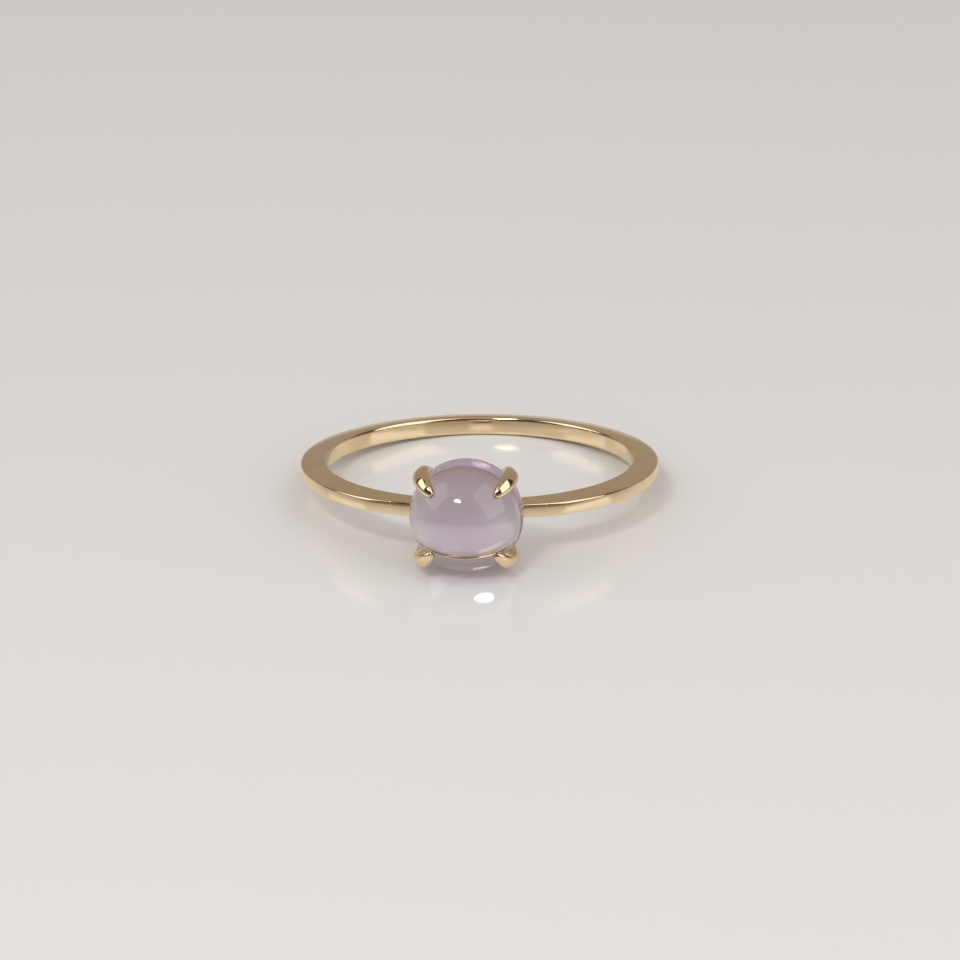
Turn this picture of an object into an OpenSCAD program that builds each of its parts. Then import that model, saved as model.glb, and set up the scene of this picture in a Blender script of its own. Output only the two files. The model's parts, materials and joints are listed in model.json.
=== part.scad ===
// Cabochon ring: a slim polished band, a small open basket and four claws round a domed stone.
// The ring lies on its side, as it would on a table. It rests on the lower edge of the
// stone in front and on the back of the band, so its plane leans up towards the stone.
// Millimetres. +Z is up and the stone faces -Y. The origin is on the surface that the ring
// lies on, under the middle of its outline.

/* [Band] */
// Inside diameter, where the finger goes
finger_d = 16.7; // [15:0.1:20]
// Thickness of the band at its back and sides, from the finger outwards
band_t = 1.4; // [1.3:0.05:1.6]
// Width of the band against the finger
band_w = 1; // [0.95:0.05:1.2]
// Width of the band at its outer face
face_w = 0.7; // [0.6:0.05:0.8]
// Radius of the gentle curve across each side of the band
side_r = 6; // [5:0.5:8]
// Radius of the low dome across the outer face
face_r = 1.6; // [1.4:0.1:2.5]
// Size of the small bevel along each edge of the band
edge_bevel = 0.08; // [0.05:0.01:0.12]
// Thickness of the band beside the basket, where it is slimmest
front_t = 0.9; // [0.8:0.05:1]
// Where the slim front begins, as an angle from the stone's axis
slim_span = 32; // [30:0.5:36]

/* [Stone] */
// Diameter of the round stone
stone_d = 6; // [5.6:0.1:6.4]
// Height of the stone, from its flat back to the top of the dome
stone_h = 3.4; // [3.2:0.05:3.5]
// Height of the upright wall under the dome
wall_h = 0.7; // [0.5:0.05:0.9]
// Size of the bevel round the flat back
back_bevel = 0.12; // [0.05:0.01:0.2]

/* [Setting] */
// Space between the flat back of the stone and the band under it
seat_lift = 0.05; // [0.03:0.01:0.15]
// Play between the stone and the metal round it
play = 0.03; // [0.02:0.005:0.05]
// Angle of each claw from the line of the band, seen from the front
claw_angle = 43.5; // [42:0.5:48]
// How far the basket's rim is set in from the edge of the stone
rim_inset = 0.22; // [0.15:0.01:0.3]
// How far the basket's foot is set in from the edge of the stone
foot_inset = 0.68; // [0.6:0.01:0.8]
// Thickness of the basket's wall at its foot
basket_wall = 0.35; // [0.3:0.05:0.45]

/* [Hidden] */
$fn = 96;

finger_r = finger_d / 2;
outer_r = finger_r + band_t;
stone_r = stone_d / 2;

// The outer face is an arc, so its edges lie a little inside the outer radius
face_drop = face_r - sqrt(face_r * face_r - face_w * face_w / 4);
face_edge_r = outer_r - face_drop;

// Each side of the band is an arc from the finger edge to the face edge. Its centre is
// side_r behind the middle of that chord, square to it.
side_run = face_edge_r - finger_r;
side_drop = (band_w - face_w) / 2;
side_chord = sqrt(side_run * side_run + side_drop * side_drop);
side_reach = sqrt(side_r * side_r - side_chord * side_chord / 4);
side_centre_r = (finger_r + face_edge_r) / 2 - side_reach * side_drop / side_chord;
side_centre_u = (band_w + face_w) / 4 - side_reach * side_run / side_chord;

// The slim front is part of a larger circle. It is set back so that it leaves front_t at the
// stone, and it crosses the band's own circle at slim_span.
front_edge_r = finger_r + front_t;
front_set_back = (outer_r * outer_r - front_edge_r * front_edge_r)
    / (2 * (front_edge_r - outer_r * cos(slim_span)));
front_r = front_edge_r + front_set_back;

// A third circle eases the band into the slim front, from a little outside slim_span on the
// band's circle to a little inside it on the front's circle
EASE_OUTSIDE = 5;
EASE_INSIDE = 5.5;
ease_from = slim_span + EASE_OUTSIDE;
ease_to = slim_span - EASE_INSIDE;
ease_out = outer_r * [sin(ease_from), cos(ease_from)];
ease_in = reach(front_r, front_set_back, ease_to) * [sin(ease_to), cos(ease_to)];
ease_set_back = (ease_out * ease_out - ease_in * ease_in) / (2 * (ease_in[1] - ease_out[1]));
ease_r = norm(ease_out + [0, ease_set_back]);

// Distance from the ring's centre to a circle that is set back from it, at an angle from
// the stone's axis
function reach(r, set, angle) = sqrt(r * r - pow(set * sin(angle), 2)) - set * cos(angle);

// Distance from the ring's centre to the flat back of the stone
seat_a = front_edge_r + seat_lift;

// The dome is part of a sphere that meets the wall
dome_h = stone_h - wall_h;
dome_r = (stone_r * stone_r + dome_h * dome_h) / (2 * dome_h);
dome_centre_h = stone_h - dome_r;

// Radius of the open hole behind the stone, which lets light into it
light_hole_r = stone_r - foot_inset - basket_wall;

// The basket's foot passes the finger hole's wall by this, and is cut back to it
FOOT_PAST = 0.2;
// The basket's rim passes the flat back of the stone by this, and is cut back to it
RIM_PAST = 0.1;

// Lean of the ring at rest. The lowest point of the stone's wall and the lowest point of
// the band's back, on the curve of its side, are at the same height.
lean_q = seat_a + back_bevel + side_centre_r;
lean_p = stone_r - side_centre_u;
lean = acos(side_r / norm([lean_p, lean_q])) - atan2(lean_q, lean_p);

// Height of the ring's centre over the surface that it lies on
lift = stone_r * cos(lean) - (seat_a + back_bevel) * sin(lean);

// The dome reaches furthest forward and the band's outer face furthest back
front_reach = (seat_a + dome_centre_h) * cos(lean) + dome_r;
back_reach = (outer_r - face_r) * cos(lean) + face_r;
set_back = (front_reach - back_reach) / 2;

// One row for each section of a claw, from its foot behind the stone to its tip
CLAW_H = 0;     // height over the flat back, for a stone of CLAW_STONE_H
CLAW_OUT = 1;   // distance of the section's middle from the edge of the stone, outwards
CLAW_W = 2;     // width, across
CLAW_T = 3;     // thickness, outwards
CLAW_TURN = 4;  // how far the section's outer side is turned down towards the foot
CLAW_ROWS = [
    [-1.05, -0.76, 0.48, 0.44,  22],
    [-0.95, -0.68, 0.70, 0.66,  24],
    [-0.50, -0.30, 0.84, 0.78,  32],
    [-0.05, -0.01, 0.91, 0.83,  26],
    [ 0.40,  0.16, 0.94, 0.84,  14],
    [ 0.85,  0.21, 0.94, 0.84,   0],
    [ 1.30,  0.15, 0.92, 0.82, -15],
    [ 1.70, -0.01, 0.86, 0.78, -28],
    [ 2.04, -0.24, 0.76, 0.70, -39],
    [ 2.30, -0.49, 0.60, 0.56, -46],
    [ 2.46, -0.70, 0.36, 0.34, -50]
];
CLAW_STONE_H = 3.4;
CLAW_SIDES = 16;
// Under 1 the section is an oval with fuller corners
CLAW_SQUARE = 0.8;
// The claw's two ends rise to a point by this
CLAW_CROWN = 0.05;

function fuller(v) = sign(v) * pow(abs(v), CLAW_SQUARE);

// Height over the flat back at which a row's section stands
function claw_h(row) = row[CLAW_H] * (row[CLAW_H] > 0 ? stone_h / CLAW_STONE_H : 1);

// A point of a section, some way outwards and sideways from its middle
function claw_point(row, out, side) = [
    stone_r + row[CLAW_OUT] + out * cos(row[CLAW_TURN]),
    side,
    claw_h(row) - out * sin(row[CLAW_TURN])
];

// Points round one section
function claw_ring(row) = [
    for (i = [0:CLAW_SIDES - 1])
        let (turn = 360 * i / CLAW_SIDES)
        claw_point(row, row[CLAW_T] / 2 * fuller(cos(turn)), row[CLAW_W] / 2 * fuller(sin(turn)))
];

// The middle of a section, moved along the claw by some way
function claw_end(row, along) =
    claw_point(row, 0, 0) + along * [sin(row[CLAW_TURN]), 0, cos(row[CLAW_TURN])];

module band_section() {
    intersection() {
        translate([finger_r, -band_w]) square([outer_r - finger_r + 1, 2 * band_w]);
        translate([side_centre_r, side_centre_u]) circle(side_r);
        translate([side_centre_r, -side_centre_u]) circle(side_r);
        translate([outer_r - face_r, 0]) circle(face_r);
    }
}

module corner_cut(r, u) {
    translate([r, u]) rotate(45) square(edge_bevel * sqrt(2), center = true);
}

// A round band of one section all the way, with a small bevel along its four edges
module full_band() {
    rotate_extrude()
        difference() {
            band_section();
            for (up = [-1, 1]) {
                corner_cut(finger_r, up * band_w / 2);
                corner_cut(face_edge_r, up * face_w / 2);
            }
        }
}

// A disc that keeps what is inside a larger circle, with the band's own face and bevels
module face_circle(r, set) {
    corner = r - face_drop + face_w / 2 - edge_bevel;
    translate([0, set, 0])
        rotate_extrude()
            intersection() {
                polygon([
                    [0, -band_w], [corner - band_w, -band_w], [corner, 0],
                    [corner - band_w, band_w], [0, band_w]
                ]);
                union() {
                    translate([r - face_r, 0]) circle(face_r);
                    translate([0, -band_w]) square([r - face_r, 2 * band_w]);
                }
            }
}

module shank() {
    intersection() {
        full_band();
        face_circle(ease_r, ease_set_back);
        face_circle(front_r, front_set_back);
    }
}

// Puts what is drawn upright on the stone's flat back in its place on the ring
module on_seat() {
    translate([0, -seat_a, 0]) rotate([90, 0, 0]) children();
}

// The domed stone, grown all round by some play
module stone_shape(grow) {
    upright_h = max(dome_centre_h, back_bevel);
    rotate_extrude()
        difference() {
            union() {
                intersection() {
                    translate([0, dome_centre_h]) circle(dome_r + grow);
                    translate([0, -grow]) square([stone_r + grow, stone_h + 1]);
                }
                translate([0, -grow]) square([stone_r + grow, upright_h + grow]);
            }
            translate([stone_r + grow, -grow])
                rotate(45) square(back_bevel * sqrt(2), center = true);
        }
}

// The open basket under the stone, which widens from its foot to its rim
module basket() {
    foot_h = -front_t - seat_lift - FOOT_PAST;
    rotate_extrude()
        polygon([
            [light_hole_r, foot_h], [stone_r - foot_inset, foot_h],
            [stone_r - rim_inset, RIM_PAST], [light_hole_r, RIM_PAST]
        ]);
}

module claw() {
    rings = len(CLAW_ROWS);
    last = rings - 1;
    points = concat(
        [for (row = CLAW_ROWS) each claw_ring(row)],
        [claw_end(CLAW_ROWS[0], -CLAW_CROWN), claw_end(CLAW_ROWS[last], CLAW_CROWN)]
    );
    walls = [
        for (k = [0:last - 1])
            for (i = [0:CLAW_SIDES - 1])
                let (j = (i + 1) % CLAW_SIDES, low = k * CLAW_SIDES, high = low + CLAW_SIDES)
                each [[low + i, high + i, high + j], [low + i, high + j, low + j]]
    ];
    foot = [for (i = [0:CLAW_SIDES - 1]) [rings * CLAW_SIDES, i, (i + 1) % CLAW_SIDES]];
    tip = [
        for (i = [0:CLAW_SIDES - 1])
            [rings * CLAW_SIDES + 1, last * CLAW_SIDES + (i + 1) % CLAW_SIDES, last * CLAW_SIDES + i]
    ];
    polyhedron(points = points, faces = concat(walls, foot, tip));
}

module claw_set() {
    for (half = [0, 180]) for (side = [-1, 1]) rotate(half + side * claw_angle) claw();
}

// Leans the ring into the way that it rests
module at_rest() {
    translate([0, set_back, lift]) rotate([-lean, 0, 0]) children();
}

module gold_ring() {
    color([0.86, 0.72, 0.47])
        at_rest()
            difference() {
                union() {
                    shank();
                    on_seat() basket();
                    on_seat() claw_set();
                }
                on_seat() stone_shape(play);
                on_seat() translate([0, 0, -finger_r]) cylinder(r = light_hole_r, h = seat_a);
                cylinder(r = finger_r, h = 3 * stone_d, center = true);
            }
}

module amethyst() {
    color([0.68, 0.60, 0.70]) at_rest() on_seat() stone_shape(0);
}

gold_ring();
amethyst();
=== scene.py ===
import json
import math
from collections import namedtuple

import bmesh
import bpy
from bpy.props import FloatProperty, FloatVectorProperty, PointerProperty
from mathutils import Matrix, Vector


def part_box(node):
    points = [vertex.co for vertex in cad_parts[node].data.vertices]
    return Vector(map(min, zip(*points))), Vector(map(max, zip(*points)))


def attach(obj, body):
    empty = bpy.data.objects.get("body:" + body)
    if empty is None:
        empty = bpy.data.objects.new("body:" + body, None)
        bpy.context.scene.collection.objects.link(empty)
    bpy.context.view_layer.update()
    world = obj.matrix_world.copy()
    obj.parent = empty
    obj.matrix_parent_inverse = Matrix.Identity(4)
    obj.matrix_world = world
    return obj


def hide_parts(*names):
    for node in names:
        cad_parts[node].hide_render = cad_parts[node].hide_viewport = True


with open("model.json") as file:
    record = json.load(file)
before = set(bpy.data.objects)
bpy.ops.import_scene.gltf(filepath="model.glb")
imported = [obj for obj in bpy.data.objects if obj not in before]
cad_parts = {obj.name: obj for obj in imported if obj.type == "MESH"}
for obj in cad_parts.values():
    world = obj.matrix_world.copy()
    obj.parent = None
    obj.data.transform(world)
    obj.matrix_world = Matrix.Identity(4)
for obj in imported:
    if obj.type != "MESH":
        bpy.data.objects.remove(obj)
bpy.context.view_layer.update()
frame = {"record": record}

bl_info = {
    "name": "Cabochon Ring",
    "version": (1, 0, 0),
    "blender": (4, 5, 0),
    "location": "3D View > Sidebar > Ring",
    "description": "A slim gold ring with a domed stone in four claws, and a table to show it on",
    "category": "Add Mesh",
}

MM = 0.001
# Two points nearer than this are the same point
SAME = 0.001 * MM

# The whole model as it was packed, before anything is added
STONE_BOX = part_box("amethyst")
FINGER_HOLE = next(m for m in frame["record"]["mounts"] if m["name"] == "finger_hole")
CENTRE = Vector(FINGER_HOLE["pos_m"])
FINGER_AXIS = Vector(FINGER_HOLE["axis"]).normalized()

# One section of a claw, in millimetres. Its height is over the flat back of the stone, "out"
# is from the stone's edge outwards, and "turn" is how far its outer side is turned down
# towards the foot, in degrees.
Section = namedtuple("Section", "height out width thickness turn")
# From the foot of a claw to its tip
CLAW_SECTIONS = (
    Section(-1.05, -0.76, 0.48, 0.44, 22),
    Section(-0.95, -0.68, 0.70, 0.66, 24),
    Section(-0.50, -0.30, 0.84, 0.78, 32),
    Section(-0.05, -0.01, 0.91, 0.83, 26),
    Section(0.40, 0.16, 0.94, 0.84, 14),
    Section(0.85, 0.21, 0.94, 0.84, 0),
    Section(1.30, 0.15, 0.92, 0.82, -15),
    Section(1.70, -0.01, 0.86, 0.78, -28),
    Section(2.04, -0.24, 0.76, 0.70, -39),
    Section(2.30, -0.49, 0.60, 0.56, -46),
    Section(2.46, -0.70, 0.36, 0.34, -50),
)
CLAW_NAMES = ("claw_upper_right", "claw_lower_right", "claw_lower_left", "claw_upper_left")

# Noise stays near the middle of its range, so these parts of it are stretched to the whole
WARM_CLOUDS = (0.4, 0.65)
HAZE_CLOUDS = (0.35, 0.75)
STONE_CLOUDS = (0.4, 0.8)
# The scale of a wave texture whose lines are about 0.1 mm apart
LINE_SCALE = 3000
# A Mix node has sockets for each kind of value, and these are the ones for colours
MIX_FACTOR, MIX_FIRST, MIX_SECOND, MIX_RESULT = 0, 6, 7, 2


def length(name, description, millimetres):
    """A property that holds a length, kept in metres."""
    return FloatProperty(
        name=name, description=description, default=millimetres * MM,
        min=0, unit="LENGTH", precision=5,
    )


def angle(name, description, degrees):
    """A property that holds an angle, kept in radians."""
    return FloatProperty(
        name=name, description=description, default=math.radians(degrees), subtype="ANGLE"
    )


def share(name, description, value):
    """A property that holds a share from 0 to 1."""
    return FloatProperty(
        name=name, description=description, default=value, min=0, max=1, subtype="FACTOR"
    )


def watts(name, description, value):
    """A property that holds the strength of a light."""
    return FloatProperty(
        name=name, description=description, default=value, min=0, unit="POWER"
    )


def amount(name, description, value):
    """A property that holds a plain number with no upper end."""
    return FloatProperty(name=name, description=description, default=value, min=0)


def colour(name, description, value):
    """A property that holds a colour."""
    return FloatVectorProperty(
        name=name, description=description, default=value,
        size=3, min=0, soft_max=1, subtype="COLOR",
    )


class RingSizes(bpy.types.PropertyGroup):
    """Sizes of the band, the stone and its setting"""
    finger_r: length("Finger radius", "Inside radius of the band", FINGER_HOLE["dims"]["r_mm"])
    band_t: length("Band thickness", "Thickness at the back and sides", 1.4)
    band_w: length("Band width", "Width against the finger", 1.0)
    face_w: length("Face width", "Width at the outer face", 0.7)
    side_r: length("Side radius", "Radius of the curve across each side", 6)
    face_r: length("Face radius", "Radius of the low dome across the outer face", 1.6)
    edge_r: length("Edge round", "Rounding of the two outer edges", 0.08)
    finger_edge_r: length("Finger edge round", "Rounding of the two edges against the finger", 0.2)
    front_t: length("Front thickness", "Thickness where the band meets the basket", 0.9)
    slim_span: angle("Slim span", "Where the slim front begins, from the stone's axis", 38)
    stone_r: length("Stone radius", "Radius of the round stone", STONE_BOX[1].x / MM)
    stone_h: length("Stone height", "From the flat back to the top of the dome", 3.4)
    wall_h: length("Wall height", "Height of the upright wall under the dome", 0.7)
    back_bevel: length("Back bevel", "Bevel round the flat back of the stone", 0.12)
    seat_lift: length("Seat lift", "From the band to the flat back of the stone", 0.05)
    play: length("Play", "Play between the stone and the metal round it", 0.03)
    claw_angle: angle("Claw angle", "From the line of the band to each claw", 43.5)
    rim_inset: length("Rim inset", "From the stone's edge in to the basket's rim", 0.25)
    foot_inset: length("Foot inset", "From the stone's edge in to the basket's foot", 0.68)
    basket_wall: length("Basket wall", "Thickness of the basket's wall at its foot", 0.35)


class GoldLook(bpy.types.PropertyGroup):
    """Finish of the metal"""
    pale: colour("Pale gold", "Colour where the polish is fresh", (0.93, 0.76, 0.50))
    warm: colour("Warm gold", "Colour in the faint clouds of the polish", (0.90, 0.70, 0.43))
    warm_size: length("Warm size", "Size of the warmer clouds", 1.6)
    polish: share("Polish", "Roughness of the polished metal", 0.07)
    haze: share("Haze", "Roughness in the duller clouds of the polish", 0.13)
    haze_size: length("Haze size", "Size of the duller clouds", 0.25)
    lines: share("Polishing lines", "Strength of the fine lines that run round the band", 0.05)
    line_depth: length("Line depth", "Depth of a fine line at full strength", 0.002)
    seams: share("Solder seams", "Strength of the solder seam on each side", 0.35)
    seam_depth: length("Seam depth", "Depth of a solder seam at full strength", 0.02)
    seam_at: length("Seam place", "From the middle of the ring out to each solder seam", 4.2)
    seam_reach: length("Seam reach", "From the middle of a solder seam to its edge", 0.07)


class StoneLook(bpy.types.PropertyGroup):
    """Finish of the stone"""
    tint: colour("Tint", "Colour that the stone lets through", (0.42, 0.24, 0.50))
    depth: amount("Depth", "How fast the colour deepens through the stone, per metre", 180)
    # The pinker zone is painted warm shade: a tint across the top of the stone, set by height over
    # the table, that stands in for the gold-lit shade under the basket seen through the stone
    painted_shade_tint: colour("Zone", "Colour of the pinker zone across the top of the stone", (1.0, 0.9, 0.87))
    painted_shade_low: length("Zone start", "Height over the table where the pinker zone begins", 4.2)
    painted_shade_high: length("Zone end", "Height over the table where it reaches its full colour", 5.0)
    ior: amount("Refraction", "How strongly the stone bends light", 1.544)
    haze: share("Haze", "Roughness in the faint clouds of the polish", 0.015)
    haze_size: length("Haze size", "Size of the faint clouds of the polish", 0.5)


class StageLook(bpy.types.PropertyGroup):
    """Table, light and camera"""
    table: colour("Table", "Colour of the pale table", (0.75, 0.74, 0.73))
    table_rough: share("Table roughness", "Roughness of the table", 0.15)
    table_clouds: share("Table clouds", "How much darker the table is in its faint clouds", 0.015)
    table_cloud_size: length("Table cloud size", "Size of the faint clouds of the table", 60)
    backdrop: colour("Backdrop", "Colour of the wall behind the table", (0.35, 0.30, 0.255))
    ceiling: colour("Ceiling", "Colour of the ceiling", (0.45, 0.42, 0.42))
    horizon: colour("Horizon", "Colour of the room past the table's edge", (0.2, 0.17, 0.13))
    room: colour("Room", "Colour of the dark room above that", (0.035, 0.032, 0.03))
    key: watts("Key light", "Strength of the small light at the upper left", 0.45)
    right_panel: watts("Right panel", "Strength of the soft panel on the right", 1.5)
    left_panel: watts("Left panel", "Strength of the soft panel on the left", 0.85)
    top_fill: watts("Top fill", "Strength of the broad soft light from above", 1.8)
    front_fill: watts("Front fill", "Strength of the broad soft light from the front", 2.34)
    camera_elevation: angle("Camera elevation", "Height of the camera over the table", 23.2)
    camera_azimuth: angle("Camera azimuth", "Turn of the camera to the right of the front", 4.3)
    camera_roll: angle("Camera roll", "Roll of the camera", -1.0)
    camera_distance: length("Camera distance", "From the ring's centre to the camera", 270)
    lens: FloatProperty(
        name="Lens", description="Focal length", default=186.15, min=1, unit="CAMERA"
    )


def ring_place():
    """From the ring's own axes, the finger along Z and the stone towards -Y, to its place."""
    across = Vector((1, 0, 0))
    along = FINGER_AXIS.cross(across)
    turned = Matrix((across, along, FINGER_AXIS)).transposed().to_4x4()
    return Matrix.Translation(CENTRE) @ turned


def seat_height(sizes):
    """From the middle of the finger hole to the flat back of the stone."""
    return sizes.finger_r + sizes.front_t + sizes.seat_lift


def seat_place(sizes):
    """From the stone's own axes, upright on its flat back, to its place on the ring."""
    upright = Matrix.Rotation(math.radians(90), 4, "X")
    return ring_place() @ Matrix.Translation((0, -seat_height(sizes), 0)) @ upright


def direction(azimuth, elevation):
    """A unit arrow from two angles in radians. Azimuth is from the front towards +X."""
    flat = math.cos(elevation)
    return Vector((math.sin(azimuth) * flat, -math.cos(azimuth) * flat, math.sin(elevation)))


def start_piece(name):
    """Names the primitive that was just added and opens it for editing."""
    piece = bpy.context.object
    piece.name = name
    piece.data.name = name
    bpy.ops.object.transform_apply(location=True, rotation=True, scale=True)
    bpy.ops.object.mode_set(mode="EDIT")
    return piece


def only(*pieces):
    """Selects these objects and nothing else, and makes the first one active."""
    if bpy.context.object and bpy.context.object.mode != "OBJECT":
        bpy.ops.object.mode_set(mode="OBJECT")
    bpy.ops.object.select_all(action="DESELECT")
    for piece in pieces:
        piece.select_set(True)
    if pieces:
        bpy.context.view_layer.objects.active = pieces[0]


def pick(kind, test):
    """In the mesh being edited, selects the vertices, edges or faces that pass a test."""
    bpy.ops.mesh.select_mode(type=kind)
    bpy.ops.mesh.select_all(action="DESELECT")
    data = bpy.context.edit_object.data
    mesh = bmesh.from_edit_mesh(data)
    parts = {"VERT": mesh.verts, "EDGE": mesh.edges, "FACE": mesh.faces}[kind]
    found = [part for part in parts if test(part)]
    if not found:
        raise RuntimeError(f"{data.name} has nothing there to select")
    for part in found:
        part.select_set(True)
    mesh.select_flush_mode()
    bmesh.update_edit_mesh(data)


def near(a, b):
    """Whether two points are the same."""
    return (a - b).length < SAME


def middle(edge):
    """The point halfway along an edge."""
    return (edge.verts[0].co + edge.verts[1].co) / 2


def shift(by):
    """Moves what is selected."""
    bpy.ops.transform.translate(value=by)


def stretch(by, about=(0, 0, 0)):
    """Scales what is selected about a point."""
    bpy.ops.transform.resize(value=by, center_override=about)


def tip(degrees, about):
    """Turns what is selected about the Y axis, its +X side downwards."""
    # With no window this operator turns the other way
    bpy.ops.transform.rotate(
        value=-math.radians(degrees), orient_axis="Y", center_override=about
    )


def apply_modifier(kind, **values):
    """Adds a modifier to the active piece, sets its values and applies it."""
    bpy.ops.object.modifier_add(type=kind)
    modifier = bpy.context.object.modifiers[-1]
    for name, value in values.items():
        setattr(modifier, name, value)
    bpy.ops.object.modifier_apply(modifier=modifier.name)


def close_up(piece):
    """Merges doubles, turns the faces outwards, and stops if the mesh isn't closed."""
    only(piece)
    bpy.ops.object.mode_set(mode="EDIT")
    bpy.ops.mesh.select_all(action="SELECT")
    bpy.ops.mesh.remove_doubles(threshold=SAME)
    bpy.ops.mesh.normals_make_consistent(inside=False)
    bpy.ops.object.mode_set(mode="OBJECT")
    mesh = bmesh.new()
    mesh.from_mesh(piece.data)
    open_edges = sum(1 for edge in mesh.edges if not edge.is_manifold)
    volume = mesh.calc_volume(signed=True)
    mesh.free()
    if open_edges or volume <= 0:
        raise RuntimeError(f"{piece.name} isn't a closed solid: {open_edges} open edges")


def put(piece, place):
    """Moves a finished piece to its place, with the place kept in its mesh."""
    only(piece)
    piece.matrix_world = place
    bpy.ops.object.transform_apply(location=True, rotation=True, scale=True)


def smooth(piece, degrees, weighted=False):
    """Shades a piece smooth, apart from edges sharper than an angle."""
    only(piece)
    bpy.ops.object.shade_smooth_by_angle(angle=math.radians(degrees))
    if weighted:
        apply_modifier("WEIGHTED_NORMAL", keep_sharp=True)


def hand_over(piece, node, material):
    """Gives a finished piece its material and its place in the frame."""
    piece.data.materials.clear()
    piece.data.materials.append(material)
    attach(piece, "root")
    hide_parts(node)


def hand_over_gold(context, piece):
    """Hands over a finished piece of the metal."""
    gold = new_material("polished_gold", gold_nodes, context.scene.gold_look)
    hand_over(piece, "gold_ring", gold)


def new_material(name, build, look):
    """A node material, made once and shared."""
    material = bpy.data.materials.get(name)
    if material is None:
        material = bpy.data.materials.new(name)
        material.use_nodes = True
        build(material.node_tree, look)
    return material


def add_node(tree, kind, place=(0, 0), **inputs):
    """Adds a node. Each input is a value or another node's output socket."""
    node = tree.nodes.new(kind)
    node.location = place
    for name, value in inputs.items():
        set_input(tree, node, name.replace("_", " ").title(), value)
    return node


def set_input(tree, node, name, value):
    """Links an input to another node's output socket, or sets its value."""
    if isinstance(value, bpy.types.NodeSocket):
        tree.links.new(value, node.inputs[name])
    else:
        node.inputs[name].default_value = value


def own_coordinates(tree):
    """Places in metres, in the piece's own frame."""
    return add_node(tree, "ShaderNodeTexCoord", (-1200, 0)).outputs["Object"]


def clouds(tree, coordinates, size, detail, place):
    """Soft clouds from 0 to 1 that are about this size."""
    noise = add_node(
        tree, "ShaderNodeTexNoise", place, vector=coordinates, scale=1 / size, detail=detail
    )
    return noise.outputs["Fac"]


def between(tree, source, source_range, result_range, place):
    """Maps a range of values onto another, and holds it at the ends."""
    node = add_node(tree, "ShaderNodeMapRange", place, value=source)
    names = ("From Min", "From Max", "To Min", "To Max")
    for name, value in zip(names, (*source_range, *result_range)):
        node.inputs[name].default_value = value
    return node.outputs["Result"]


def calculate(tree, what, place, a, b=None):
    """One step of arithmetic."""
    node = add_node(tree, "ShaderNodeMath", place)
    node.operation = what
    set_input(tree, node, 0, a)
    if b is not None:
        set_input(tree, node, 1, b)
    return node.outputs[0]


def mix_colour(tree, factor, first, second, place):
    """Mixes two colours. The first may be another node's output."""
    node = add_node(tree, "ShaderNodeMix", place)
    node.data_type = "RGBA"
    set_input(tree, node, MIX_FACTOR, factor)
    linked = isinstance(first, bpy.types.NodeSocket)
    set_input(tree, node, MIX_FIRST, first if linked else (*first, 1))
    set_input(tree, node, MIX_SECOND, (*second, 1))
    return node.outputs[MIX_RESULT]


def gold_nodes(tree, look):
    """Polished pale gold, with faint clouds, fine lines round the band and two solder seams."""
    shader = tree.nodes["Principled BSDF"]
    shader.inputs["Metallic"].default_value = 1
    here = own_coordinates(tree)
    cloud = clouds(tree, here, look.warm_size, detail=3, place=(-900, 200))
    warmth = between(tree, cloud, WARM_CLOUDS, (0, 1), (-700, 300))
    tint = mix_colour(tree, warmth, look.pale, look.warm, (-500, 300))
    tree.links.new(tint, shader.inputs["Base Color"])
    grain = clouds(tree, here, look.haze_size, detail=4, place=(-900, 0))
    rough = between(tree, grain, HAZE_CLOUDS, (look.polish, look.haze), (-700, 50))
    tree.links.new(rough, shader.inputs["Roughness"])
    fine = add_node(
        tree, "ShaderNodeBump", (-300, -250), height=polishing_lines(tree, here),
        strength=look.lines, distance=look.line_depth,
    )
    seam = add_node(
        tree, "ShaderNodeBump", (-100, -400), height=solder_seams(tree, here, look),
        strength=look.seams, distance=look.seam_depth, normal=fine.outputs["Normal"],
    )
    seam.invert = True
    tree.links.new(seam.outputs["Normal"], shader.inputs["Normal"])


def polishing_lines(tree, here):
    """Fine wavy lines that run round the band, from 0 to 1."""
    mapping = add_node(tree, "ShaderNodeMapping", (-900, -250), vector=here)
    mapping.vector_type = "TEXTURE"
    mapping.inputs["Location"].default_value = CENTRE
    mapping.inputs["Rotation"].default_value = ring_place().to_euler()
    lines = add_node(
        tree, "ShaderNodeTexWave", (-700, -250), vector=mapping.outputs["Vector"],
        scale=LINE_SCALE, distortion=6, detail=3, detail_scale=0.6,
    )
    lines.wave_type = "RINGS"
    lines.rings_direction = "Z"
    return lines.outputs["Fac"]


def solder_seams(tree, here, look):
    """A seam across the front of the band on each side, 1 in its middle and 0 outside it."""
    split = add_node(tree, "ShaderNodeSeparateXYZ", (-900, -600), vector=here)
    off_middle = calculate(tree, "ABSOLUTE", (-700, -600), split.outputs["X"])
    off_seam = calculate(tree, "SUBTRACT", (-550, -600), off_middle, look.seam_at)
    off_seam = calculate(tree, "ABSOLUTE", (-400, -600), off_seam)
    front = calculate(tree, "LESS_THAN", (-700, -750), split.outputs["Y"], 0.0)
    groove = between(tree, off_seam, (0, look.seam_reach), (1, 0), (-250, -600))
    return calculate(tree, "MULTIPLY", (-100, -650), groove, front)


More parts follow.
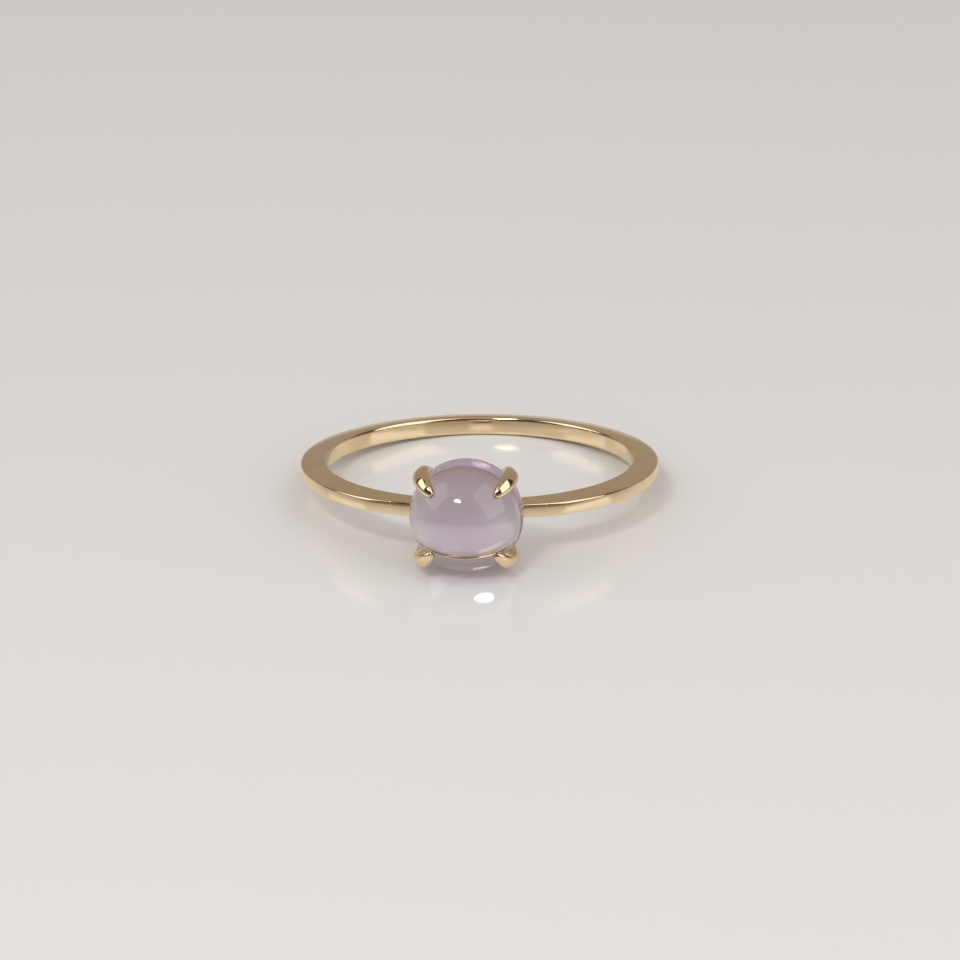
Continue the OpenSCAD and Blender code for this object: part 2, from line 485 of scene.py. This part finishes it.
def stone_nodes(tree, look):
    """Clear polished stone, lilac through its thickness, and tinted pinker across its top as
    painted warm shade.
    """
    shader = tree.nodes["Principled BSDF"]
    shader.inputs["Transmission Weight"].default_value = 1
    shader.inputs["IOR"].default_value = look.ior
    here = own_coordinates(tree)
    split = add_node(tree, "ShaderNodeSeparateXYZ", (-900, 300), vector=here)
    # Painted warm shade: the stone turns pinker with height over the table, standing in for the
    # gold-lit shade seen through its top
    painted_shade_range = (look.painted_shade_low, look.painted_shade_high)
    high = between(tree, split.outputs["Z"], painted_shade_range, (0, 1), (-700, 300))
    painted_shade_tint = mix_colour(tree, high, (1, 1, 1), look.painted_shade_tint, (-500, 300))
    tree.links.new(painted_shade_tint, shader.inputs["Base Color"])
    grain = clouds(tree, here, look.haze_size, detail=3, place=(-900, 0))
    rough = between(tree, grain, STONE_CLOUDS, (0, look.haze), (-700, 0))
    tree.links.new(rough, shader.inputs["Roughness"])
    inside = add_node(
        tree, "ShaderNodeVolumeAbsorption", (0, -300), color=(*look.tint, 1), density=look.depth
    )
    tree.links.new(inside.outputs[0], tree.nodes["Material Output"].inputs["Volume"])


def table_nodes(tree, look):
    """Smooth pale table top with a soft gloss."""
    shader = tree.nodes["Principled BSDF"]
    here = own_coordinates(tree)
    cloud = clouds(tree, here, look.table_cloud_size, detail=3, place=(-900, 200))
    darker = tuple(c * (1 - look.table_clouds) for c in look.table)
    tint = mix_colour(tree, cloud, look.table, darker, (-500, 200))
    tree.links.new(tint, shader.inputs["Base Color"])
    shader.inputs["Roughness"].default_value = look.table_rough


def bow_edge(start, end, radius, outwards, cuts):
    """Cuts a straight edge and pushes it outwards into an arc."""
    centre = (start + end) / 2
    half = (end - start).length / 2
    pick("EDGE", lambda edge: near(middle(edge), centre))
    bpy.ops.mesh.subdivide(number_cuts=cuts)
    for k in range(1, cuts + 1):
        point = start.lerp(end, k / (cuts + 1))
        away = (point - centre).length
        bulge = math.sqrt(radius ** 2 - away ** 2) - math.sqrt(radius ** 2 - half ** 2)
        pick("VERT", lambda vertex: near(vertex.co, point))
        shift(outwards * bulge)


def band_share(sizes, away):
    """Share of the band's full thickness at an angle from the stone's axis."""
    if away >= sizes.slim_span:
        return 1
    # Two parabolas that meet here with one slope
    meet = 0.8
    s = away / sizes.slim_span
    slimmed = (1 - s) ** 2 / (1 - meet) if s > meet else 1 - s * s / meet
    return 1 - (1 - sizes.front_t / sizes.band_t) * slimmed


class MESH_OT_ring_band(bpy.types.Operator):
    """Add the band: a straight bar, slimmed at its ends and bent round the finger"""
    bl_idname = "mesh.ring_band"
    bl_label = "Band"
    bl_options = {"REGISTER", "UNDO"}

    # Steps along the bar, cuts across each side and the face, and steps round each corner
    STATIONS = 240
    ARC_CUTS = 7
    CORNER_STEPS = 4
    # From the middle of the basket's wall in to where the bar ends
    END_INSET = 0.02 * MM

    def execute(self, context):
        sizes = context.scene.ring_sizes
        # The ends of the bar stop inside the basket's wall, clear of the light hole
        wall_middle = sizes.stone_r - sizes.foot_inset - sizes.basket_wall / 2
        middle_r = sizes.finger_r + sizes.front_t / 2
        end_angle = math.asin((wall_middle - self.END_INSET) / middle_r)
        turn = 2 * math.pi - 2 * end_angle
        bar = turn * sizes.finger_r
        face_drop = sizes.face_r - math.sqrt(sizes.face_r ** 2 - sizes.face_w ** 2 / 4)
        edge_y = -(sizes.band_t - face_drop)

        only()
        bpy.ops.mesh.primitive_plane_add(size=1, rotation=(0, math.radians(90), 0))
        piece = start_piece("gold_band")
        self.shape_section(sizes, edge_y)
        bpy.ops.mesh.select_all(action="SELECT")
        shift((-bar / 2, 0, 0))
        step = bar / self.STATIONS
        bpy.ops.mesh.extrude_repeat(steps=self.STATIONS, offset=(step, 0, 0), scale_offset=1)
        self.slim_ends(sizes, bar, step)
        only(piece)
        apply_modifier(
            "SIMPLE_DEFORM", deform_method="BEND", deform_axis="Z", angle=turn
        )
        half_turn = Matrix.Rotation(math.pi, 4, "Z")
        to_axis = Matrix.Translation((0, -sizes.finger_r, 0))
        put(piece, ring_place() @ half_turn @ to_axis)
        close_up(piece)
        smooth(piece, degrees=35, weighted=True)
        hand_over_gold(context, piece)
        return {"FINISHED"}

    def shape_section(self, sizes, edge_y):
        """Turns the square into the band's section, the finger at Y = 0 and outwards to -Y."""
        bpy.ops.mesh.select_all(action="SELECT")
        stretch((1, -edge_y, sizes.band_w))
        shift((0, edge_y / 2, 0))
        pick("VERT", lambda vertex: vertex.co.y < edge_y / 2)
        stretch((1, 1, sizes.face_w / sizes.band_w), (0, edge_y, 0))
        for up in (-1, 1):
            finger_corner = Vector((0, 0, up * sizes.band_w / 2))
            face_corner = Vector((0, edge_y, up * sizes.face_w / 2))
            chord = (face_corner - finger_corner).normalized()
            outwards = Vector((0, -chord.z, chord.y)) * -up
            bow_edge(finger_corner, face_corner, sizes.side_r, outwards, self.ARC_CUTS)
        low = Vector((0, edge_y, -sizes.face_w / 2))
        high = Vector((0, edge_y, sizes.face_w / 2))
        bow_edge(low, high, sizes.face_r, Vector((0, -1, 0)), self.ARC_CUTS)
        for y, width, round_r in (
            (0, sizes.band_w, sizes.finger_edge_r), (edge_y, sizes.face_w, sizes.edge_r)
        ):
            corners = [Vector((0, y, up * width / 2)) for up in (-1, 1)]
            pick("VERT", lambda vertex: any(near(vertex.co, corner) for corner in corners))
            bpy.ops.mesh.bevel(offset=round_r, segments=self.CORNER_STEPS, affect="VERTICES")

    def slim_ends(self, sizes, bar, step):
        """Thins the bar towards both ends, two like stations at a time."""
        for k in range(self.STATIONS // 2):
            place = bar / 2 - k * step
            away = math.pi - place / sizes.finger_r
            if away >= sizes.slim_span:
                break
            pick("VERT", lambda vertex: abs(abs(vertex.co.x) - place) < step / 4)
            stretch((1, band_share(sizes, away), 1))


class MESH_OT_ring_basket(bpy.types.Operator):
    """Add the open basket under the stone: a cone, hollowed and cut to the finger hole"""
    bl_idname = "mesh.ring_basket"
    bl_label = "Basket"
    bl_options = {"REGISTER", "UNDO"}

    SIDES = 128
    # Rounding of the basket's edges, from this many degrees up
    EDGE_ROUND = 0.05 * MM
    SHARP = 35

    def execute(self, context):
        sizes = context.scene.ring_sizes
        seat = seat_height(sizes)
        foot_r = sizes.stone_r - sizes.foot_inset
        rim_r = sizes.stone_r - sizes.rim_inset
        hole_r = foot_r - sizes.basket_wall
        foot_h = sizes.finger_r - seat
        rim_h = -sizes.play

        only()
        bpy.ops.mesh.primitive_cone_add(
            vertices=self.SIDES, radius1=foot_r, radius2=rim_r, depth=rim_h - foot_h,
            location=(0, 0, (rim_h + foot_h) / 2),
        )
        piece = start_piece("gold_basket")
        for height, radius in ((rim_h, rim_r), (foot_h, foot_r)):
            pick("FACE", lambda face: face.calc_center_median().xy.length < SAME
                 and abs(face.calc_center_median().z - height) < SAME)
            bpy.ops.mesh.inset(thickness=(radius - hole_r) * math.cos(math.pi / self.SIDES))
        pick("FACE", lambda face: len(face.verts) == self.SIDES)
        bpy.ops.mesh.bridge_edge_loops()
        self.cut_to_finger(sizes, seat, foot_h)
        only(piece)
        apply_modifier(
            "BEVEL", width=self.EDGE_ROUND, segments=3,
            limit_method="ANGLE", angle_limit=math.radians(self.SHARP),
        )
        close_up(piece)
        put(piece, seat_place(sizes))
        smooth(piece, degrees=40, weighted=True)
        hand_over_gold(context, piece)
        return {"FINISHED"}

    def cut_to_finger(self, sizes, seat, foot_h):
        """Moves each point of the foot on to the round wall of the finger hole."""
        mesh = bmesh.from_edit_mesh(bpy.context.edit_object.data)
        foot = [vertex.co.copy() for vertex in mesh.verts if vertex.co.z < foot_h + SAME]
        for point in foot:
            wall = math.sqrt(sizes.finger_r ** 2 - point.x ** 2) - seat
            pick("VERT", lambda vertex: near(vertex.co, point))
            shift((0, 0, wall - point.z))


def raise_stone(sizes, name, grow, sides, rings):
    """The domed stone, upright on its flat back, grown all round by some play."""
    dome_h = sizes.stone_h - sizes.wall_h
    dome_r = (sizes.stone_r ** 2 + dome_h ** 2) / (2 * dome_h)
    only()
    bpy.ops.mesh.primitive_uv_sphere_add(
        segments=sides, ring_count=rings, radius=dome_r + grow,
        location=(0, 0, sizes.stone_h - dome_r),
    )
    piece = start_piece(name)
    bpy.ops.mesh.select_all(action="SELECT")
    bpy.ops.mesh.bisect(
        plane_co=(0, 0, sizes.wall_h), plane_no=(0, 0, 1), clear_inner=True, threshold=SAME
    )
    pick("EDGE", lambda edge: edge.is_boundary)
    bevel_h = sizes.back_bevel - grow
    for down in (bevel_h - sizes.wall_h, -sizes.back_bevel):
        bpy.ops.mesh.extrude_edges_move(TRANSFORM_OT_translate={"value": (0, 0, down)})
    wall_r = sizes.stone_r + grow
    inner = (wall_r - sizes.back_bevel) / wall_r
    stretch((inner, inner, 1))
    bpy.ops.mesh.edge_face_add()
    close_up(piece)
    return piece


class MESH_OT_ring_stone(bpy.types.Operator):
    """Add the domed stone: a sphere cut to a dome, with an upright wall and a flat back"""
    bl_idname = "mesh.ring_stone"
    bl_label = "Stone"
    bl_options = {"REGISTER", "UNDO"}

    def execute(self, context):
        sizes = context.scene.ring_sizes
        look = context.scene.stone_look
        piece = raise_stone(sizes, "domed_amethyst", grow=0, sides=160, rings=80)
        smooth(piece, degrees=30)
        put(piece, seat_place(sizes))
        polished = new_material("polished_amethyst", stone_nodes, look)
        hand_over(piece, "amethyst", polished)
        return {"FINISHED"}


class MESH_OT_ring_claws(bpy.types.Operator):
    """Add the four claws: one is drawn out from a round section, and the others are copies"""
    bl_idname = "mesh.ring_claws"
    bl_label = "Claws"
    bl_options = {"REGISTER", "UNDO"}

    SIDES = 8
    # How far the corners of a section stand out past a true oval
    FULL = 1.157
    # A subdivided section shrinks to this share of its cage
    SHRINK = 0.9393
    # How far the middle of each end stands out
    CROWN = 0.05 * MM

    def execute(self, context):
        sizes = context.scene.ring_sizes
        claw = self.draw_out(sizes)
        cutter = raise_stone(sizes, "seat_cutter", grow=sizes.play, sides=96, rings=48)
        only(claw)
        apply_modifier("BOOLEAN", object=cutter, operation="DIFFERENCE", solver="EXACT")
        only(cutter)
        bpy.ops.object.delete()
        close_up(claw)
        turns = (
            sizes.claw_angle, -sizes.claw_angle,
            math.pi + sizes.claw_angle, math.pi - sizes.claw_angle,
        )
        for name, turn in zip(CLAW_NAMES, turns):
            only(claw)
            bpy.ops.object.duplicate()
            piece = bpy.context.object
            piece.name = name
            piece.data.name = name
            put(piece, seat_place(sizes) @ Matrix.Rotation(turn, 4, "Z"))
            smooth(piece, degrees=40)
            hand_over_gold(context, piece)
        only(claw)
        bpy.ops.object.delete()
        return {"FINISHED"}

    def draw_out(self, sizes):
        """One claw over +X, from its foot to its tip."""
        only()
        bpy.ops.mesh.primitive_circle_add(vertices=self.SIDES, radius=0.5, fill_type="NGON")
        claw = start_piece("claw")
        # The corners are the points that lie on neither axis
        pick("VERT", lambda vertex: abs(vertex.co.x) > SAME and abs(vertex.co.y) > SAME)
        stretch((self.FULL, self.FULL, 1))
        bpy.ops.mesh.select_mode(type="FACE")
        bpy.ops.mesh.select_all(action="SELECT")
        centre = Vector((0, 0, 0))
        size = Vector((1, 1)) * self.SHRINK
        turn = 0
        for k, row in enumerate(CLAW_SECTIONS):
            if k:
                bpy.ops.mesh.extrude_region_move()
                tip(-turn, centre)
            stretch((row.thickness * MM / size.x, row.width * MM / size.y, 1), centre)
            place = Vector((sizes.stone_r + row.out * MM, 0, row.height * MM))
            shift(place - centre)
            tip(row.turn, place)
            centre = place
            size = Vector((row.thickness, row.width)) * MM
            turn = row.turn
        self.round_end(CLAW_SECTIONS[-1], 1)
        pick("FACE", lambda face: len(face.verts) == self.SIDES
             and face.calc_center_median().z < 0)
        self.round_end(CLAW_SECTIONS[0], -1)
        only(claw)
        apply_modifier("SUBSURF", levels=3, render_levels=3)
        close_up(claw)
        return claw

    def round_end(self, row, way):
        """Draws the end face in by a fifth of its thickness and pushes it out by the crown."""
        bpy.ops.mesh.inset(thickness=row.thickness * MM / 5)
        turn = math.radians(row.turn)
        shift(Vector((math.sin(turn), 0, math.cos(turn))) * way * self.CROWN)


class SCENE_OT_ring_stage(bpy.types.Operator):
    """Add the table, the lights, the surroundings and the camera"""
    bl_idname = "scene.ring_stage"
    bl_label = "Stage"
    bl_options = {"REGISTER", "UNDO"}

    # Where the middle of the finger hole falls in a picture of this many pixels
    PICTURE = 960
    CENTRE_X = 479.5
    CENTRE_Y = 465.6
    # The nearest thing that the camera shows
    NEAREST = 10 * MM
    # Side of the square table, in metres
    TABLE_SIDE = 4

    # The surroundings are coloured by direction, as a unit arrow from the stage. The glow
    # past the table fades as the arrow's Z rises through this range.
    GLOW_FADE = (0.1, 0.35)
    # The wall's sides lie where Y is this share of X, and it fades in past them
    WALL_SIDE = 0.5
    WALL_FADE = (0, 0.05)
    # The ceiling fades in as the arrow nears this one
    CEILING_MIDDLE = Vector((0, -0.4, 1)).normalized()
    CEILING_FADE = (0.86, 0.93)

    def execute(self, context):
        look = context.scene.stage_look
        self.add_table(look)
        self.add_surroundings(context, look)
        self.add_lights(context, look)
        self.add_camera(context, look)
        context.scene.view_settings.view_transform = "Standard"
        return {"FINISHED"}

    def add_table(self, look):
        """A plain table under the ring."""
        only()
        bpy.ops.mesh.primitive_plane_add(size=self.TABLE_SIDE)
        table = bpy.context.object
        table.name = "table"
        table.data.materials.append(new_material("pale_table", table_nodes, look))

    def add_surroundings(self, context, look):
        """A dark room with a brown wall behind the table and a grey ceiling over the front."""
        world = bpy.data.worlds.new("studio")
        context.scene.world = world
        world.use_nodes = True
        tree = world.node_tree
        background = tree.nodes["Background"]
        arrow = add_node(tree, "ShaderNodeTexCoord", (-1400, 0)).outputs["Generated"]
        split = add_node(tree, "ShaderNodeSeparateXYZ", (-1200, 0), vector=arrow)
        glow = between(tree, split.outputs["Z"], self.GLOW_FADE, (1, 0), (-800, 300))
        aside = calculate(tree, "ABSOLUTE", (-1000, 100), split.outputs["X"])
        wall_side = calculate(tree, "MULTIPLY", (-1000, 0), aside, self.WALL_SIDE)
        past_side = calculate(tree, "SUBTRACT", (-1000, -100), split.outputs["Y"], wall_side)
        wall = between(tree, past_side, self.WALL_FADE, (0, 1), (-800, 0))
        overhead = add_node(tree, "ShaderNodeVectorMath", (-1000, -350))
        overhead.operation = "DOT_PRODUCT"
        tree.links.new(arrow, overhead.inputs[0])
        overhead.inputs[1].default_value = self.CEILING_MIDDLE
        nearness = overhead.outputs["Value"]
        ceiling = between(tree, nearness, self.CEILING_FADE, (0, 1), (-800, -350))
        tint = mix_colour(tree, glow, look.room, look.horizon, (-500, 200))
        tint = mix_colour(tree, wall, tint, look.backdrop, (-350, 100))
        tint = mix_colour(tree, ceiling, tint, look.ceiling, (-200, 0))
        tree.links.new(tint, background.inputs["Color"])
        background.inputs["Strength"].default_value = 1

    def add_light(self, context, name, power, azimuth, elevation, distance, size, shape):
        """A soft light that faces the stone, with its angles in degrees and sizes in metres."""
        towards = direction(math.radians(azimuth), math.radians(elevation))
        light = bpy.data.lights.new(name, "AREA")
        light.shape = shape
        light.size, light.size_y = size
        light.energy = power
        lamp = bpy.data.objects.new(name, light)
        context.scene.collection.objects.link(lamp)
        stone = Vector((0, STONE_BOX[0].y, STONE_BOX[1].z / 2))
        lamp.matrix_world = (
            Matrix.Translation(stone + towards * distance)
            @ towards.to_track_quat("Z", "Y").to_matrix().to_4x4()
        )
        return lamp

    def add_lights(self, context, look):
        """A small key light, a soft panel on each side and two broad fills."""
        self.add_light(
            context, "key", look.key, azimuth=-22, elevation=49, distance=0.45,
            size=(0.115, 0.055), shape="ELLIPSE",
        )
        self.add_light(
            context, "right_panel", look.right_panel, azimuth=70, elevation=37, distance=0.6,
            size=(0.56, 0.66), shape="RECTANGLE",
        )
        self.add_light(
            context, "left_panel", look.left_panel, azimuth=-86, elevation=36, distance=0.6,
            size=(0.44, 0.46), shape="RECTANGLE",
        )
        top_fill = self.add_light(
            context, "top_fill", look.top_fill, azimuth=0, elevation=88, distance=0.6,
            size=(1.2, 1.2), shape="RECTANGLE",
        )
        front_fill = self.add_light(
            context, "front_fill", look.front_fill, azimuth=0, elevation=20, distance=0.6,
            size=(1.2, 0.4), shape="RECTANGLE",
        )
        # The fills light the table, and no surface mirrors them
        for fill in (top_fill, front_fill):
            fill.visible_glossy = False

    def add_camera(self, context, look):
        """A camera turned so that the middle of the finger hole falls on its own pixel."""
        roll = look.camera_roll
        towards = direction(look.camera_azimuth, look.camera_elevation)
        across = (-towards).cross(Vector((0, 0, 1))).normalized()
        over = across.cross(-towards)
        turned_across = across * math.cos(roll) + over * math.sin(roll)
        turned_over = over * math.cos(roll) - across * math.sin(roll)
        camera = bpy.data.cameras.new("camera")
        camera.lens = look.lens
        camera.clip_start = self.NEAREST
        per_pixel = camera.sensor_width / camera.lens / self.PICTURE
        aside = (self.CENTRE_X - self.PICTURE / 2) * per_pixel
        above = (self.PICTURE / 2 - self.CENTRE_Y) * per_pixel
        back = (towards + turned_across * aside + turned_over * above).normalized()
        right = (turned_across - back * turned_across.dot(back)).normalized()
        viewer = bpy.data.objects.new("camera", camera)
        context.scene.collection.objects.link(viewer)
        facing = Matrix((right, back.cross(right), back)).transposed().to_4x4()
        viewer.matrix_world = Matrix.Translation(CENTRE + towards * look.camera_distance) @ facing
        context.scene.camera = viewer


class VIEW3D_PT_ring(bpy.types.Panel):
    """Lists the pieces of the ring and its stage"""
    bl_label = "Cabochon Ring"
    bl_idname = "VIEW3D_PT_ring"
    bl_space_type = "VIEW_3D"
    bl_region_type = "UI"
    bl_category = "Ring"

    def draw(self, context):
        for operator in OPERATORS:
            self.layout.operator(operator.bl_idname)
        for group, group_name in GROUPS.items():
            values = getattr(context.scene, group_name)
            box = self.layout.box()
            box.label(text=group.__doc__)
            for name in group.__annotations__:
                box.prop(values, name)


GROUPS = {
    RingSizes: "ring_sizes",
    GoldLook: "gold_look",
    StoneLook: "stone_look",
    StageLook: "stage_look",
}
OPERATORS = (
    MESH_OT_ring_band,
    MESH_OT_ring_basket,
    MESH_OT_ring_claws,
    MESH_OT_ring_stone,
    SCENE_OT_ring_stage,
)
CLASSES = (*GROUPS, *OPERATORS, VIEW3D_PT_ring)


def register():
    """Registers the classes and gives the scene its groups of values."""
    for item in CLASSES:
        bpy.utils.register_class(item)
    for group, name in GROUPS.items():
        setattr(bpy.types.Scene, name, PointerProperty(type=group))


def unregister():
    """Takes all of that away again."""
    for name in GROUPS.values():
        delattr(bpy.types.Scene, name)
    for item in reversed(CLASSES):
        bpy.utils.unregister_class(item)


def main():
    register()
    bpy.ops.mesh.ring_band()
    bpy.ops.mesh.ring_basket()
    bpy.ops.mesh.ring_claws()
    bpy.ops.mesh.ring_stone()
    bpy.ops.scene.ring_stage()


if __name__ == "__main__":
    main()
